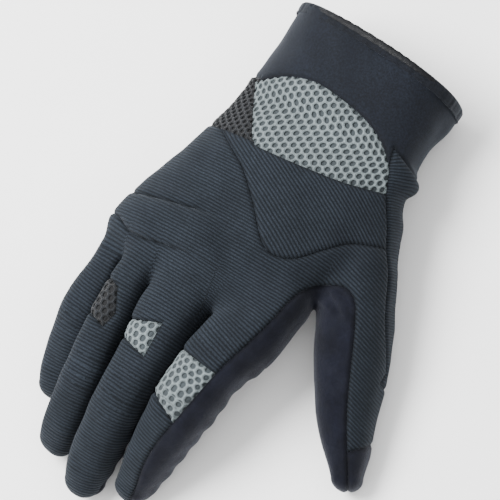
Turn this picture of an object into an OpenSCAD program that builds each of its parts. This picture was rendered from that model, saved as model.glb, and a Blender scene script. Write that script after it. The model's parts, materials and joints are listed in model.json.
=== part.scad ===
// Short-cuff riding glove for the right hand, lying palm down with its fingers curled.
// Millimetres. +Y points to the cuff's mouth, +X to the thumb's side, +Z to the back of the hand.

/* [Size] */
// Length from the cuff's mouth to the tip of the middle finger
glove_length = 251; // [240:1:260]
// Breadth across the knuckles
knuckle_breadth = 108; // [102:1:112]

/* [Fabric] */
// Thickness of the outer panels
shell_t = 1.8; // [1.2:0.1:2.2]
// Thickness of the lining
lining_t = 0.6; // [0.4:0.1:0.8]
// Thickness of the foam under the knuckles and in the palm
foam_t = 2.4; // [1.5:0.1:3]
// Gap between neighbouring panels
seam_gap = 0.5; // [0.3:0.1:0.6]

/* [Cuff] */
// Width of the binding around the cuff's mouth
binding_w = 3; // [2:0.5:4]
// Diameter of the piping on the binding
piping_d = 1.8; // [1.4:0.1:2.4]
// Width of the closure tab
tab_w = 17; // [14:1:18]
// Free length of the closure tab
tab_l = 46; // [36:1:50]

/* [Movement] */
// Furthest bend of each finger's middle joint
finger_bend = 60; // [30:5:60]
// Furthest bend of the fingers at the knuckle line
knuckle_bend = 55; // [30:5:55]
// Furthest bend of each of the thumb's joints
thumb_bend = 35; // [20:5:35]
// Furthest straightening of a joint from its resting curl
straighten = 12; // [5:1:12]
// Bend of the wrist, each way
wrist_bend = 20; // [5:1:20]

/* [Hidden] */

// Driving proportions: every row below is for a glove 251 long and 108 broad.
kx = knuckle_breadth / 108;
ky = glove_length / 251;
scale_row = [kx, ky, kx, kx, kx];
function scaled(rows) = [for (r = rows) [for (k = [0:4]) r[k] * scale_row[k]]];

// Squareness of the cross-sections: 2 is an ellipse, higher is squarer.
hand_n = 2.4;
finger_n = 2.6;

// Cross-sections of the cuff and hand: centre x, y, centre z, half width, half depth.
hand_rows = scaled([
    [-0.5, 0, 29, 46.5, 29],
    [-0.5, -14, 29, 46, 28.5],
    [-1, -22, 30.3, 45.8, 25.8],
    [-1, -30, 30.5, 45.5, 25],
    [-2, -42, 31, 46.5, 24],
    [-2.5, -60, 32, 49, 22.5],
    [-5, -80, 34, 51, 22],
    [-9, -100, 36, 52.7, 21],
    [-15, -120, 37, 52, 19.5],
    [-18, -138, 38, 51, 17.5],
    [-19, -156, 38.5, 50, 16]
]);

// Centre lines of the fingers: x, y, z, half width, half height, from the knuckle to the tip.
index_rows = scaled([
    [25, -132, 37, 13.4, 14.5], [18.5, -155, 38.2, 15.4, 14.6], [13.2, -175, 36, 13.9, 14.2],
    [10, -190, 32.4, 13.3, 13.8], [5, -214, 21.2, 11, 12.5], [1.5, -230.4, 11.6, 8.8, 10]]);
middle_rows = scaled([
    [-15, -134, 40, 14.3, 13.5], [-16.4, -154, 41, 14.2, 13.2], [-16.8, -176, 39.3, 12.4, 12.8],
    [-18, -201, 33.2, 11.2, 12.4], [-20.7, -228, 19.3, 10.6, 11.5], [-21.3, -239.5, 11.3, 9.3, 9.8]]);
ring_rows = scaled([
    [-40, -128, 38, 9.6, 13], [-42, -150, 38.6, 9.4, 12.6], [-42, -170, 36.2, 9.8, 12.4],
    [-41.4, -196, 30.4, 9.8, 12], [-43.1, -218.4, 18.3, 9.6, 11], [-44.4, -228.8, 11.1, 9, 9.7]]);
little_rows = scaled([
    [-57, -117, 33, 9, 12.5], [-59.2, -144, 33, 7.9, 12.2], [-60.4, -160, 30.8, 8.2, 12],
    [-61.4, -178, 26.2, 9, 11.5], [-61.6, -198, 16.6, 9.1, 10.4], [-60.8, -206.8, 11.2, 8.6, 9.6]]);
thumb_rows = scaled([
    [36.5, -66, 28, 15.5, 17.6], [48.5, -98, 24.5, 17.2, 18], [58, -120, 20.5, 16.5, 17],
    [64.5, -137, 18, 15.6, 16], [73.6, -154.5, 15.5, 13.3, 14.2], [82.8, -169, 13, 10.4, 11.5],
    [87.8, -177.2, 11.7, 8, 9.4]]);
fingers = [index_rows, middle_rows, ring_rows, little_rows];

// Stations of the joints along the centre lines, in rows from the first one.
finger_joint = [2.14, 2.3, 2.22, 2.11];
thumb_joint = [2.4, 3.93];
thumb_nail_angle = 25;                       // which way the thumb's nail faces, round its section
last_thumb_row = len(thumb_rows) - 1;
tip_end = 0.9;                               // how far over the round tip a panel reaches

// Knuckle line, on which the four fingers bend together.
knuckle_x = 21 * kx;
knuckle_y = -132 * ky;
knuckle_slope = 0.152;
function knuckle_line(x) = knuckle_y + (knuckle_x - x) * knuckle_slope;

wrist_y = -46 * ky;
floor_z = 1.4 * kx;                          // the cuff's underside is pressed flat at this height
// The middle of the footprint, where the origin is, from the middle of the cuff's mouth.
footprint_centre = [12.54 * kx, -123.48 * ky, floor_z];
joint_margin = 0.8;
layer_gap = 0.15;                            // between the closure's layers
bend_spare = 2.5;                            // degrees added to a bend when making room for it

// ---- Surfaces ----

function unit(v) = v / norm(v);
function squared(c, n) = sign(c) * pow(abs(c), 2 / n);
function row(rows, i) = rows[max(0, min(len(rows) - 1, i))];

// Smooth curve through rows of numbers; s counts rows.
function along(rows, s) =
    let(i = floor(s), f = s - i,
        a = row(rows, i - 1), b = row(rows, i), c = row(rows, i + 1), d = row(rows, i + 2))
    b + f * (c - a) / 2 + f * f * (a - 2.5 * b + 2 * c - d / 2)
      + f * f * f * ((d - a) / 2 + 1.5 * (b - c));
function centre(rows, s) = let(r = along(rows, s)) [r[0], r[1], r[2]];

// A point of a finger: s along it, angle a round it from the thumb's side over the back, depth in.
function tube(rows, s, a, depth) =
    let(end = len(rows) - 1,
        q = min(s, end),
        round_end = (s - q) * 90,
        r = along(rows, q),
        t = unit(centre(rows, min(end, q + 0.1)) - centre(rows, max(0, q - 0.1))),
        side = unit(cross([0, 0, 1], t)),
        up = cross(t, side),
        k = cos(round_end))
    centre(rows, q) + t * (r[3] - depth) * sin(round_end)
        + side * (r[3] - depth) * k * squared(cos(a), finger_n)
        + up * (r[4] - depth) * k * squared(sin(a), finger_n);

function hand_column(k, y) = lookup(y, [for (r = hand_rows) [r[1], r[k]]]);

// A point of the cuff or hand: y along it, angle a round it from the thumb's side over the back.
function hand(y, a, depth) =
    let(x = hand_column(0, y) + (hand_column(3, y) - depth) * squared(cos(a), hand_n),
        z = hand_column(2, y) + (hand_column(4, y) - depth) * squared(sin(a), hand_n))
    [x, y, max(z, floor_z + depth)];

function outside_hand(p, margin) =
    pow(abs(p[0] - hand_column(0, p[1])) / (hand_column(3, p[1]) + margin), hand_n)
    + pow(abs(p[2] - hand_column(2, p[1])) / (hand_column(4, p[1]) + margin), hand_n) > 1;

// ---- Panels ----

// A curved panel of even thickness: point(u, v, depth) gives its surface, u and v from 0 to 1.
module panel(point, nu, nv, depth, t, closed = false) {
    columns = closed ? nu : nu + 1;
    size = columns * (nv + 1);
    function at(k, i, j) = k * size + (i % columns) * (nv + 1) + j;
    function quad(a, b, c, d) = [[a, b, c], [a, c, d]];
    points = [for (k = [0, 1]) for (i = [0:columns - 1]) for (j = [0:nv])
        point(i / nu, j / nv, depth + k * t)];
    skins = [for (i = [0:nu - 1]) for (j = [0:nv - 1]) each concat(
        quad(at(0, i, j), at(0, i, j + 1), at(0, i + 1, j + 1), at(0, i + 1, j)),
        quad(at(1, i, j), at(1, i + 1, j), at(1, i + 1, j + 1), at(1, i, j + 1)))];
    ends = [for (i = [0:nu - 1]) each concat(
        quad(at(0, i, 0), at(0, i + 1, 0), at(1, i + 1, 0), at(1, i, 0)),
        quad(at(0, i + 1, nv), at(0, i, nv), at(1, i, nv), at(1, i + 1, nv)))];
    sides = closed ? [] : [for (j = [0:nv - 1]) each concat(
        quad(at(0, 0, j + 1), at(0, 0, j), at(1, 0, j), at(1, 0, j + 1)),
        quad(at(0, nu, j), at(0, nu, j + 1), at(1, nu, j + 1), at(1, nu, j)))];
    translate(-footprint_centre) polyhedron(points, concat(skins, ends, sides));
}

function steps(a0, a1, n) = [for (i = [0:n]) a0 + (a1 - a0) * i / n];

// A panel of the cuff or hand, with columns at these angles, between the lines top(a) and low(a).
module hand_panel(angles, top, low, depth = 0, t = shell_t, nv = 5) {
    nu = len(angles) - 1;
    panel(function(u, v, d)
        let(a = angles[round(u * nu)], y0 = top(a), y1 = low(a)) hand(y0 + (y1 - y0) * v, a, d),
        nu, nv, depth, t);
}

// A panel of a finger from angle a0 to a1, between the stations top(a) and low(a).
module finger_panel(rows, a0, a1, top, low, depth = 0, t = shell_t, nu = 8, nv = 5) {
    panel(function(u, v, d)
        let(a = a0 + (a1 - a0) * u, s0 = top(a), s1 = low(a)) tube(rows, s0 + (s1 - s0) * v, a, d),
        nu, nv, depth, t);
}

// Room that a joint needs on each side of its line, at a height above its axis.
function joint_room(height, bend, back) =
    joint_margin + max(-height * tan(bend / 2 + bend_spare), height * tan(back / 2), 0);

// Stations of a finger's panels just before (side -1) and after (side 1) a joint.
function beside_joint(rows, s, a, nail, bend, side) =
    let(height = along(rows, s)[4] * cos(a - nail),
        pace = norm(centre(rows, s + 0.1) - centre(rows, s - 0.1)) / 0.2)
    s + side * joint_room(height, bend, straighten) / pace;

// Lines across the hand just above (side 1) and below (side -1) the wrist and the knuckle line.
function wrist_cut(a, side) = wrist_y
    + side * joint_room(-abs(hand_column(4, wrist_y) * sin(a)), wrist_bend, wrist_bend);
function knuckle_cut(a, side) =
    let(p = hand(knuckle_y, a, 0), height = p[2] - hand_column(2, knuckle_y))
    knuckle_line(p[0]) + side * joint_room(height, knuckle_bend, straighten);

// Where the hand ends and the fingers part, across the hand.
function crotch_line(x) =
    lookup(x / kx, [[-75, -134], [-47, -143], [-25, -151], [2, -155], [40, -150]]) * ky;
function crotch_cut(a) = crotch_line(hand(-145 * ky, a, 0)[0]);

// The first station of a finger that is clear of the hand, and of the thumb that is clear of it.
function finger_start(rows, a) = min([for (s = [0.2:0.02:1.5])
    let(p = tube(rows, s, a, 0)) if (p[1] < crotch_line(p[0]) - seam_gap * 2) s]);
function thumb_start(a) = min([for (s = [0:0.02:2.2])
    if (outside_hand(tube(thumb_rows, s, a, shell_t), seam_gap * 2)) s]);

// Seams on the back of the hand, as angle round the hand and distance along it.
function line(a, points) = lookup(a, points) * ky;
function mesh_top(a) = line(a, [[66, -39], [89, -33], [114, -34]]);
function mesh_low(a) = line(a, [[22, -60], [57, -68.7], [80, -70], [102, -69], [116, -66]]);
function v_seam(a) = line(a, [[36, -96], [46, -102], [59, -112], [74, -108], [88, -96], [104, -78]]);
function cuff_low(a) = a < mesh_upper_side[0] || a > mesh_upper_side[1] ? wrist_cut(a, 1)
    : mesh_top(a) + seam_gap;

// Limits of the panels round the hand, as angles.
side_gap = 0.5;                              // half the gap between the back and the palm
thumb_hole = [-36, 35];                      // hole in the hand's side, where the thumb is set in
mesh_side = [24, 116];
mesh_upper_side = [67, 115];
v_end = 104;                                 // where the V seam meets the wrist mesh
v_columns = [35, 41, 46, 52.5, 59, 66.5, 74, 81, 87.5, 88.5, 96, 103.5];  // the same on both sides of it
roll_side = [88, 172];                       // the padded roll over the knuckles
roll_top = -113 * ky;
roll_low = -135 * ky;
gusset_low = -69 * ky;                       // lower edge of the gusset and of the palm's heel
patch_low = -84 * ky;

// ---- Cuff ----

// Columns of the cuff's back, with one on each side of the mesh's corners.
cuff_columns = concat(steps(side_gap, mesh_upper_side[0] - 0.5, 7),
    steps(mesh_upper_side[0], mesh_upper_side[1], 8), steps(mesh_upper_side[1] + 0.5, 180 - side_gap, 7));

module cuff_back() {
    color("#2b303a") hand_panel(cuff_columns, function(a) -binding_w - seam_gap, function(a) cuff_low(a));
}

module cuff_underside() {
    color("#2b303a") hand_panel(steps(180 + side_gap, 360 - side_gap, 20),
        function(a) -binding_w - seam_gap, function(a) wrist_cut(a, 1), nv = 12);
}

module cuff_binding() {
    color("#22252c") panel(function(u, v, d) hand(-v * binding_w, u * 360, d),
        36, 2, 0, shell_t, closed = true);
}

// Piping along the top edge of the cuff's mouth, between these angles round it.
piping_side = [30, 140];
module cuff_piping() {
    color("#3a3c42") panel(function(u, v, d)
        let(a = piping_side[0] + u * (piping_side[1] - piping_side[0]), r = piping_d / 2 - d)
        hand(0, a, shell_t / 2) + [0, r * cos(v * 300) + piping_d / 2 + layer_gap, r * sin(v * 300)],
        16, 6, 0, piping_d / 4);
}

lining_gap = 0.35;                           // between the outer panels and what lies inside them
cuff_lining_l = 34 * ky;
module cuff_lining() {
    color("#15171b") panel(function(u, v, d) hand(-binding_w - v * cuff_lining_l, u * 360, d),
        40, 10, shell_t + lining_gap, lining_t, closed = true);
}

// Elastic band inside the cuff, which draws it in at the wrist.
elastic_y = -27 * ky;
elastic_w = 9 * ky;
elastic_t = 0.8;
module wrist_elastic() {
    color("#4a4b50") panel(function(u, v, d) hand(elastic_y - v * elastic_w, u * 360, d),
        32, 2, shell_t + lining_t + 2 * lining_gap, elastic_t, closed = true);
}

// The closure under the wrist: a loop patch on the cuff, and a tab with a hook patch that peels off.
patch_t = 0.7;
tab_t = 1.3;
tab_root_x = 26 * kx;                        // fold line of the tab
tab_end_r = 5;
tab_start = -23.5 * ky;                      // edge of the tab nearest to the cuff's mouth
tab_y = [tab_start - tab_w, tab_start];
under_wrist_point = [0, (tab_y[0] + tab_y[1]) / 2, hand((tab_y[0] + tab_y[1]) / 2, 270, 0)[2]];
under_slope = atan2(hand(tab_y[0], 270, 0)[2] - hand(tab_y[1], 270, 0)[2], tab_w);

// Places a flat layer of thickness t under the wrist, with its top a distance down from the cuff.
module under_wrist(down, t) {
    translate(under_wrist_point - footprint_centre) rotate([-under_slope, 0, 0])
        translate([0, 0, -down - t]) children();
}

module closure_loop_patch() {
    color("#1a1b1f") under_wrist(layer_gap, patch_t)
        translate([tab_root_x - tab_l - 4, -tab_w / 2 + 1, 0]) cube([tab_l - 6, tab_w - 2, patch_t]);
}

module closure_hook_patch() {
    color("#101114") under_wrist(patch_t + 2 * layer_gap, patch_t)
        translate([tab_root_x - tab_l + 2, -tab_w / 2 + 2, 0]) cube([tab_l - 20, tab_w - 4, patch_t]);
}

module closure_tab() {
    color("#2b303a") under_wrist(2 * patch_t + 3 * layer_gap, tab_t) linear_extrude(tab_t) union() {
        translate([tab_root_x - tab_l + tab_end_r, -tab_w / 2])
            square([tab_l - tab_end_r - seam_gap, tab_w]);
        translate([tab_root_x - tab_l, -tab_w / 2 + tab_end_r])
            square([2 * tab_end_r, tab_w - 2 * tab_end_r]);
        for (side = [-1, 1]) translate([tab_root_x - tab_l + tab_end_r, side * (tab_w / 2 - tab_end_r)])
            circle(tab_end_r, $fn = 48);
    }
}

// The tab's sewn end, beyond its fold line.
module closure_anchor() {
    color("#2b303a") under_wrist(2 * patch_t + 3 * layer_gap, tab_t)
        translate([tab_root_x + seam_gap, -tab_w / 2, 0]) cube([7, tab_w, tab_t]);
}

// ---- Hand ----

// The wrist mesh crosses the wrist's bend, so it has one solid on each side of it.
module wrist_mesh_upper() {
    color("#a5b2b4") hand_panel(steps(mesh_upper_side[0], mesh_upper_side[1], 10),
        function(a) mesh_top(a), function(a) wrist_cut(a, 1), nv = 3);
}

module wrist_mesh_lower() {
    color("#a5b2b4") hand_panel(steps(mesh_side[0] + side_gap, mesh_side[1] - side_gap, 14),
        function(a) wrist_cut(a, -1), function(a) mesh_low(a), nv = 4);
}

module ulnar_mesh() {
    color("#1c1f24") hand_panel(steps(mesh_side[1] + side_gap, 180 - side_gap, 10),
        function(a) wrist_cut(a, -1), function(a) -69 * ky, nv = 4);
}

module thumb_side_gusset() {
    color("#282e36") hand_panel(steps(side_gap, mesh_side[0] - side_gap, 5),
        function(a) wrist_cut(a, -1), function(a) gusset_low, nv = 4);
}

module upper_back_panel() {
    color("#282e36") hand_panel(v_columns, function(a) mesh_low(a) - seam_gap, function(a) v_seam(a));
}

module back_panel() {
    color("#282e36") hand_panel(concat(v_columns, steps(v_end + side_gap, 180 - side_gap, 11)),
        function(a) (a < v_end ? v_seam(a) : -69 * ky) - seam_gap,
        function(a) a < roll_side[0] ? knuckle_cut(a, 1) : roll_top + seam_gap, nv = 6);
}

roll_columns = steps(roll_side[0] + side_gap, roll_side[1], 12);
foam_columns = steps(roll_side[0] + 6, roll_side[1] - 16, 10);

module knuckle_roll_rear() {
    color("#2c323b") hand_panel(roll_columns, function(a) roll_top, function(a) knuckle_cut(a, 1), nv = 3);
}

module knuckle_foam_rear() {
    color("#55585e") hand_panel(foam_columns, function(a) roll_top - 1, function(a) knuckle_cut(a, 1) + 1,
        shell_t + lining_gap, foam_t, nv = 2);
}

// The web between the thumb's hole and the root of the index finger.
module thumb_web() {
    color("#211f25") hand_panel(steps(thumb_hole[0] + 1, thumb_hole[1] - 1, 6),
        function(a) -116 * ky, function(a) knuckle_cut(a, 1), nv = 3);
}

module palm_heel() {
    color("#211f25") hand_panel(steps(180 + side_gap, 360 - side_gap, 16),
        function(a) wrist_cut(a, -1), function(a) gusset_low, nv = 3);
}

palm_columns = steps(180 + side_gap, 360 + thumb_hole[0], 14);

module palm_patch() {
    color("#1b191f") hand_panel(palm_columns,
        function(a) gusset_low - seam_gap, function(a) patch_low, nv = 3);
}

module palm_panel() {
    color("#211f25") hand_panel(palm_columns,
        function(a) patch_low - seam_gap, function(a) knuckle_cut(a, 1));
}

module palm_foam() {
    color("#55585e") hand_panel(steps(215, 290, 8), function(a) gusset_low - 2, function(a) patch_low + 1,
        shell_t + lining_gap, foam_t, nv = 2);
}

module hand_lining() {
    color("#15171b") hand_panel(steps(thumb_hole[1] + 2, 180 - side_gap, 12),
        function(a) -72 * ky, function(a) roll_top + 6, shell_t + lining_gap, lining_t, nv = 4);
}

module palm_lining() {
    color("#15171b") hand_panel(steps(185, 360 + thumb_hole[0] - 2, 12),
        function(a) patch_low - 2, function(a) -112 * ky, shell_t + lining_gap, lining_t, nv = 4);
}

// ---- Finger roots ----

module knuckle_roll_front() {
    color("#2c323b") hand_panel(roll_columns, function(a) knuckle_cut(a, -1), function(a) roll_low, nv = 3);
}

module knuckle_foam_front() {
    color("#55585e") hand_panel(foam_columns, function(a) knuckle_cut(a, -1) - 1, function(a) roll_low + 1,
        shell_t + lining_gap, foam_t, nv = 2);
}

module finger_root_back() {
    color("#282e36") hand_panel(concat(steps(side_gap, roll_side[0] - side_gap, 10),
        steps(roll_side[0] + side_gap, 180 - side_gap, 14)),
        function(a) a < roll_side[0] ? knuckle_cut(a, -1) : roll_low - seam_gap,
        function(a) min(crotch_cut(a), roll_low - seam_gap - 1), nv = 4);
}

module finger_root_palm() {
    color("#211f25") hand_panel(steps(180 + side_gap, 360 - side_gap, 22),
        function(a) knuckle_cut(a, -1), function(a) min(crotch_cut(a), knuckle_cut(a, -1) - 2), nv = 4);
}

// ---- Fingers and thumb ----

// The two halves of a finger before its middle joint, and beyond it to the round tip.
module finger_base_half(i, a0, a1) {
    finger_panel(fingers[i], a0 + 1, a1 - 1, function(a) finger_start(fingers[i], a),
        function(a) beside_joint(fingers[i], finger_joint[i], a, 90, finger_bend, -1), nv = 3);
}

module finger_end_half(i, a0, a1) {
    finger_panel(fingers[i], a0 + 1, a1 - 1,
        function(a) beside_joint(fingers[i], finger_joint[i], a, 90, finger_bend, 1),
        function(a) len(fingers[i]) - 1 + tip_end, nv = 9);
}

module finger_base_back(i) { color("#282e36") finger_base_half(i, 0, 180); }
module finger_base_palm(i) { color("#211f25") finger_base_half(i, 180, 360); }
module finger_end_back(i) { color("#282e36") finger_end_half(i, 0, 180); }
module finger_end_palm(i) { color("#211f25") finger_end_half(i, 180, 360); }

function thumb_cut(k, a, side) =
    beside_joint(thumb_rows, thumb_joint[k], a, thumb_nail_angle, thumb_bend, side);

// The thumb's back runs from its outer underside over to the seam that faces the fingers.
thumb_back_side = [-60, 84];
thumb_cap_s = 4.9;                           // where the tip's cap begins

module thumb_root_back() {
    color("#282e36") finger_panel(thumb_rows, thumb_back_side[0] + 1, 140,
        function(a) thumb_start(a), function(a) thumb_cut(0, a, -1), nu = 14);
}

module thumb_root_palm() {
    color("#211f25") finger_panel(thumb_rows, 222, 359 + thumb_back_side[0],
        function(a) thumb_start(a), function(a) thumb_cut(0, a, -1), nv = 4);
}

module thumb_middle(a0, a1) {
    finger_panel(thumb_rows, a0 + 1, a1 - 1,
        function(a) thumb_cut(0, a, 1), function(a) thumb_cut(1, a, -1), nu = 10, nv = 3);
}

module thumb_middle_back() { color("#282e36") thumb_middle(thumb_back_side[0], thumb_back_side[1]); }
module thumb_middle_inner() { color("#211f25") thumb_middle(thumb_back_side[1], 360 + thumb_back_side[0]); }

module thumb_end_back() {
    color("#282e36") finger_panel(thumb_rows, thumb_back_side[0] + 1, thumb_back_side[1] - 1,
        function(a) thumb_cut(1, a, 1), function(a) thumb_cap_s, nv = 3);
}

module thumb_end_inner() {
    color("#211f25") finger_panel(thumb_rows, thumb_back_side[1] + 1, 359 + thumb_back_side[0],
        function(a) thumb_cut(1, a, 1), function(a) last_thumb_row + tip_end, nu = 12, nv = 8);
}

module thumb_tip_cap() {
    color("#1b191f") finger_panel(thumb_rows, thumb_back_side[0] + 1, thumb_back_side[1] - 1,
        function(a) thumb_cap_s + 0.04, function(a) last_thumb_row + tip_end, nv = 7);
}

cuff_back();
cuff_underside();
cuff_binding();
cuff_piping();
cuff_lining();
wrist_elastic();
closure_loop_patch();
closure_hook_patch();
closure_tab();
closure_anchor();
wrist_mesh_upper();
wrist_mesh_lower();
ulnar_mesh();
thumb_side_gusset();
upper_back_panel();
back_panel();
knuckle_roll_rear();
knuckle_foam_rear();
thumb_web();
palm_heel();
palm_patch();
palm_panel();
palm_foam();
hand_lining();
palm_lining();
knuckle_roll_front();
knuckle_foam_front();
finger_root_back();
finger_root_palm();
finger_base_back(0);  // index_base_back
finger_base_palm(0);  // index_base_palm
finger_end_back(0);  // index_end_back
finger_end_palm(0);  // index_end_palm
finger_base_back(1);  // middle_base_back
finger_base_palm(1);  // middle_base_palm
finger_end_back(1);  // middle_end_back
finger_end_palm(1);  // middle_end_palm
finger_base_back(2);  // ring_base_back
finger_base_palm(2);  // ring_base_palm
finger_end_back(2);  // ring_end_back
finger_end_palm(2);  // ring_end_palm
finger_base_back(3);  // little_base_back
finger_base_palm(3);  // little_base_palm
finger_end_back(3);  // little_end_back
finger_end_palm(3);  // little_end_palm
thumb_root_back();
thumb_root_palm();
thumb_middle_back();
thumb_middle_inner();
thumb_end_back();
thumb_end_inner();
thumb_tip_cap();
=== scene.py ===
import json
import math

import bpy
import numpy as np
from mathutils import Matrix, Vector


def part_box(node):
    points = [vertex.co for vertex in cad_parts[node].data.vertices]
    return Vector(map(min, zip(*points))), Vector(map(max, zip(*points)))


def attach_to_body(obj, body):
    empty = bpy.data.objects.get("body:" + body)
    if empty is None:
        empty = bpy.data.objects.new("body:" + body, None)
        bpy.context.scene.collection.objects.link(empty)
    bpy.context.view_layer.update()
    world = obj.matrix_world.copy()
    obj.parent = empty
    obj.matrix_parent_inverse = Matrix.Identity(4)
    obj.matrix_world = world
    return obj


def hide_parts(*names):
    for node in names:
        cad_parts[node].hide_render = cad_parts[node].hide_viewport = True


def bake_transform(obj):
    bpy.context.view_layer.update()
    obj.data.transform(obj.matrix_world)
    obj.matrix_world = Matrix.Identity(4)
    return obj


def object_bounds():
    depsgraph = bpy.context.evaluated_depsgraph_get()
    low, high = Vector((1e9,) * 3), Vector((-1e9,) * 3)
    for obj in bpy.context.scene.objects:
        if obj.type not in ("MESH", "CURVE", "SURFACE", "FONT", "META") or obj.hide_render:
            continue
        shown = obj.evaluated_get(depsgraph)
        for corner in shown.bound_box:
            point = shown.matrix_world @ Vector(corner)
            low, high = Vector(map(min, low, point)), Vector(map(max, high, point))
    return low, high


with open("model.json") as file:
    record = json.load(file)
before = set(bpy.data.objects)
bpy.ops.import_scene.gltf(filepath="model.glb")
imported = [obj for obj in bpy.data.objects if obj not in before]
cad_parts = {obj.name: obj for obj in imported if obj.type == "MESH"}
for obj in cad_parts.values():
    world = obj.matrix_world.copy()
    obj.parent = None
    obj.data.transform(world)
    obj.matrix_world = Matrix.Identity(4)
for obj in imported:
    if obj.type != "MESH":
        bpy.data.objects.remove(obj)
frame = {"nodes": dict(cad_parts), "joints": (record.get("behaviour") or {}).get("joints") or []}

import openvdb
from mathutils import Matrix
from mathutils.kdtree import KDTree

# A riding glove for the right hand. Shapes are worked out in millimetres in the glove's own layout:
# the middle of the cuff's mouth is near x 0, y 0, the fingers point to -y, the thumb to +x, and z is up.
# placed() moves them into the frame, in metres.

MM = 0.001
cad_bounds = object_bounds()

binding_lo, binding_hi = (np.array(corner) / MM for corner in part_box("cuff_binding"))
MOUTH_X = -0.5                               # middle of the cuff's mouth in the layout
FLOOR_Z = 1.4                                # height in the layout of what the glove lies on
BINDING_OUT = 0.62                           # how far the binding stands out from the cuff
SHIFT = np.array([(binding_lo[0] + binding_hi[0]) / 2 - MOUTH_X, binding_hi[1], binding_lo[2] - FLOOR_Z])


def placed(points):
    return (np.asarray(points, float) + SHIFT) * MM


def in_layout(point):
    return np.array(point) / MM - SHIFT


JOINTS = {j["name"]: j for j in frame["joints"]}


def pivot(joint):
    return in_layout(JOINTS[joint]["pos_m"])


# ---------------- shape of the glove

# Cuff and hand: y, centre x, centre z, half width, half depth.
HAND = np.array([
    [8, -0.5, 29, 46.6, 29], [0, -0.5, 29, 46.5, 29], [-14, -0.5, 29, 46, 28.5],
    [-30, -1.2, 30.5, 45.3, 25], [-41, -1.7, 31, 46.6, 24], [-49, 0.4, 31.3, 49.8, 23.4],
    [-60, -2.8, 32, 48.3, 22.5], [-80, -5, 34, 51, 22], [-100, -9.5, 36, 52.7, 21],
    [-120, -16.3, 37, 52.2, 19.5], [-138, -19, 38, 51.4, 17.5], [-160, -20, 38, 48, 14]])

# Fingers and thumb, from the knuckle to the tip: x, y, z, half width, half height.
TUBES = {
    "index": [
        [25, -128, 37, 14, 14.7], [20.5, -148, 38.2, 16.7, 15], [16.3, -162, 38, 16, 14.8],
        [13.2, -175, 36, 14.4, 14.5], [10.3, -190, 32.8, 14.2, 14], [4.9, -214, 21.5, 11.5, 12.8],
        [1.4, -230.6, 12, 9.0, 10.2]],
    "middle": [
        [-15, -130, 40, 15.5, 13.5], [-16, -152, 41, 15.6, 13.2], [-16.6, -175, 39.5, 13.4, 12.8],
        [-17.9, -201, 33.4, 12, 12.5], [-20.7, -228, 19.6, 11, 11.5], [-21.3, -239.8, 11.7, 9.4, 9.8]],
    "ring": [
        [-40, -124, 38, 10.4, 13], [-42, -150, 38.6, 10.4, 12.6], [-42, -168, 36.6, 10.7, 12.4],
        [-41.2, -196, 30.6, 10.8, 12], [-43, -218.5, 18.7, 10.6, 11], [-44.2, -229, 11.5, 9.4, 9.6]],
    "little": [
        [-49.5, -113, 33, 11.5, 12.5], [-56.5, -135, 33.4, 11.9, 12.4], [-57.3, -152, 32, 10.8, 12],
        [-60.4, -178, 26.2, 10.8, 11.5], [-60.8, -198, 17, 10.2, 10.5], [-60, -207, 11.6, 9.2, 9.5]],
    "thumb": [
        [32.3, -62, 28, 13.5, 16.6], [44.8, -92, 25.5, 16.4, 18], [54.2, -114, 21.5, 17, 17.5],
        [62.4, -133, 18.2, 16.7, 16.5], [73.3, -154.5, 15.5, 13.8, 14.2], [83, -170, 12.6, 10.5, 11.4],
        [88, -179, 11.2, 7.6, 9]],
}
FINGERS = ("index", "middle", "ring", "little")
HAND_POWER, TUBE_POWER = 2.4, 2.5            # 2 is an ellipse, and more is squarer
HAND_END_Y = -128                            # past this the hand rounds off, under the fingers


def through(rows, per_row=14):
    """A smooth curve through the rows, sampled."""
    rows = np.array(rows, float)
    p = np.vstack([rows[:1], rows, rows[-1:]])
    out = []
    for i in range(1, len(p) - 2):
        a, b, c, d = p[i - 1:i + 3]
        for f in np.arange(per_row) / per_row:
            out.append(b + f * (c - a) / 2 + f * f * (a - 2.5 * b + 2 * c - d / 2)
                       + f ** 3 * ((d - a) / 2 + 1.5 * (b - c)))
    return np.array(out + [rows[-1]])


def step(x, a, b):
    """0 below a, 1 above b, smooth between."""
    t = np.clip((x - a) / (b - a), 0, 1)
    return t * t * (3 - 2 * t)


def unit(v):
    return v / np.maximum(np.linalg.norm(v, axis=-1, keepdims=True), 1e-9)


def smooth_min(a, b, k):
    h = np.maximum(k - np.abs(a - b), 0) / k
    return np.minimum(a, b) - h * h * k / 4


def rounded(l, u, w, h, past, dome, power):
    """About how far a point is outside a squarish section, or the dome past the section's end."""
    ratio = ((np.abs(l / w) ** power + np.abs(u / h) ** power) ** (2 / power) + (past / dome) ** 2) ** 0.5
    return np.sqrt(l * l + u * u + past * past) * (1 - 1 / np.maximum(ratio, 1e-6))


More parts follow.
